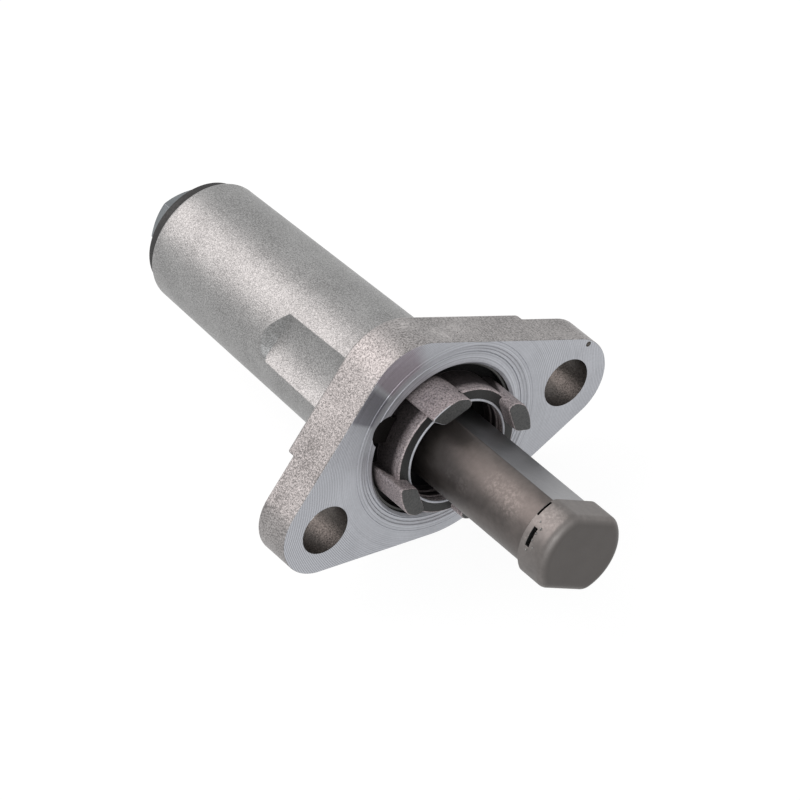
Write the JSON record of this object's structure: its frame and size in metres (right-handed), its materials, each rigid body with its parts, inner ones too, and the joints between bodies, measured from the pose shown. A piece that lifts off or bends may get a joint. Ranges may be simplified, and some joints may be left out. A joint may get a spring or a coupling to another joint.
{
  "type": "timing chain tensioner",
  "caption": "Screw-type timing chain tensioner: cast flanged housing, clawed guide ring and a flatted plunger driven by a sprung screw.",
  "frame": {"origin": "where the axis of the plunger's bore meets the machined mounting face of the flange", "axes": "the plunger points along -Y, the flange's long axis lies along X and its boss points towards +Z"},
  "size_m": [0.048, 0.0809, 0.03],
  "materials": {
    "cast_aluminium": "bead-blasted casting with a turned mounting face",
    "sintered_steel": "grainy sintered, dark",
    "spring_steel": "dull spring steel",
    "ground_steel": "ground, dark grey-brown",
    "cap_steel": "dull, warm dark grey",
    "bright_steel": "turned, bright",
    "plated_bolt": "zinc plated",
    "seal_rubber": "matt black"
  },
  "bodies": {
    "body": {"housing": "cast_aluminium", "guide_ring": "sintered_steel", "retaining_ring": "spring_steel", "spacer_sleeve": "bright_steel", "thrust_seat": "bright_steel", "torsion_spring": "spring_steel", "seal_bolt": "plated_bolt", "seal_washer": "seal_rubber"},
    "screw": {"screw_shaft": "bright_steel"},
    "plunger_group": {"plunger": "ground_steel", "plunger_cap": "cap_steel"}
  },
  "joints": [
    {"name": "screw_spin", "type": "hinge", "parent": "body", "child": "screw", "pos_m": [0, 0.03, 0], "axis": [0, -1, 0], "range_deg": [0, 1440], "deforming": ["torsion_spring"]},
    {"name": "plunger_slide", "type": "slide", "parent": "body", "child": "plunger_group", "axis": [0, -1, 0], "range_m": [-0.02, 0], "stiffness_N_per_m": 1000}
  ],
  "couplings": [
    {"joint": "screw_spin", "follows": "plunger_slide", "rad_per_m": -1256.6}
  ]
}
